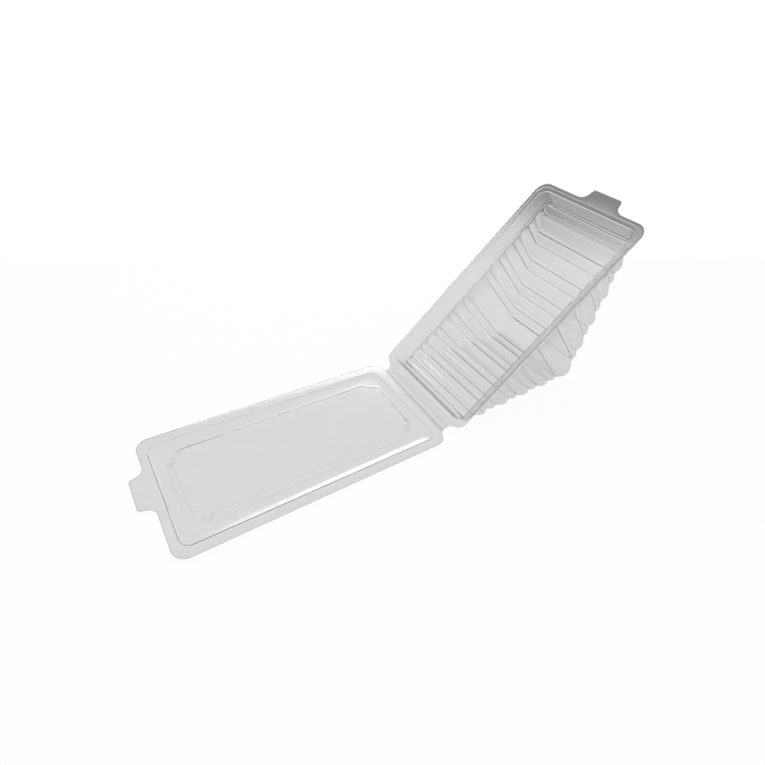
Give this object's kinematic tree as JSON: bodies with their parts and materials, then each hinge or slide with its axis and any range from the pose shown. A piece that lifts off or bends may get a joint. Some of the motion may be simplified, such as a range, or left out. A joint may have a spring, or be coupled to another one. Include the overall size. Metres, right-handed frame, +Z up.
{
  "type": "hinged sandwich wedge pack",
  "caption": "Clear thin-walled wedge pack with a deep fluted tray and a shallow lid on a living hinge, shown open, with a pull tab on each half.",
  "frame": {"origin": "centre of the bounding box's base, on the surface that the open pack stands on", "axes": "+X from the lid to the tray along the pack's length, +Y across the pack, +Z up; the crease of the hinge runs along Y"},
  "size_m": [0.3164, 0.088, 0.1325],
  "materials": {
    "clear_sheet": "clear, glossy, thin formed plastic sheet"
  },
  "bodies": {
    "tray": {"fluted_tray": "clear_sheet"},
    "lid": {"lid": "clear_sheet"}
  },
  "joints": [
    {"name": "lid_hinge", "type": "hinge", "parent": "tray", "child": "lid", "pos_m": [0.02691, 0, 0.00175], "axis": [0, 1, 0], "range_deg": [-45, 135]}
  ]
}
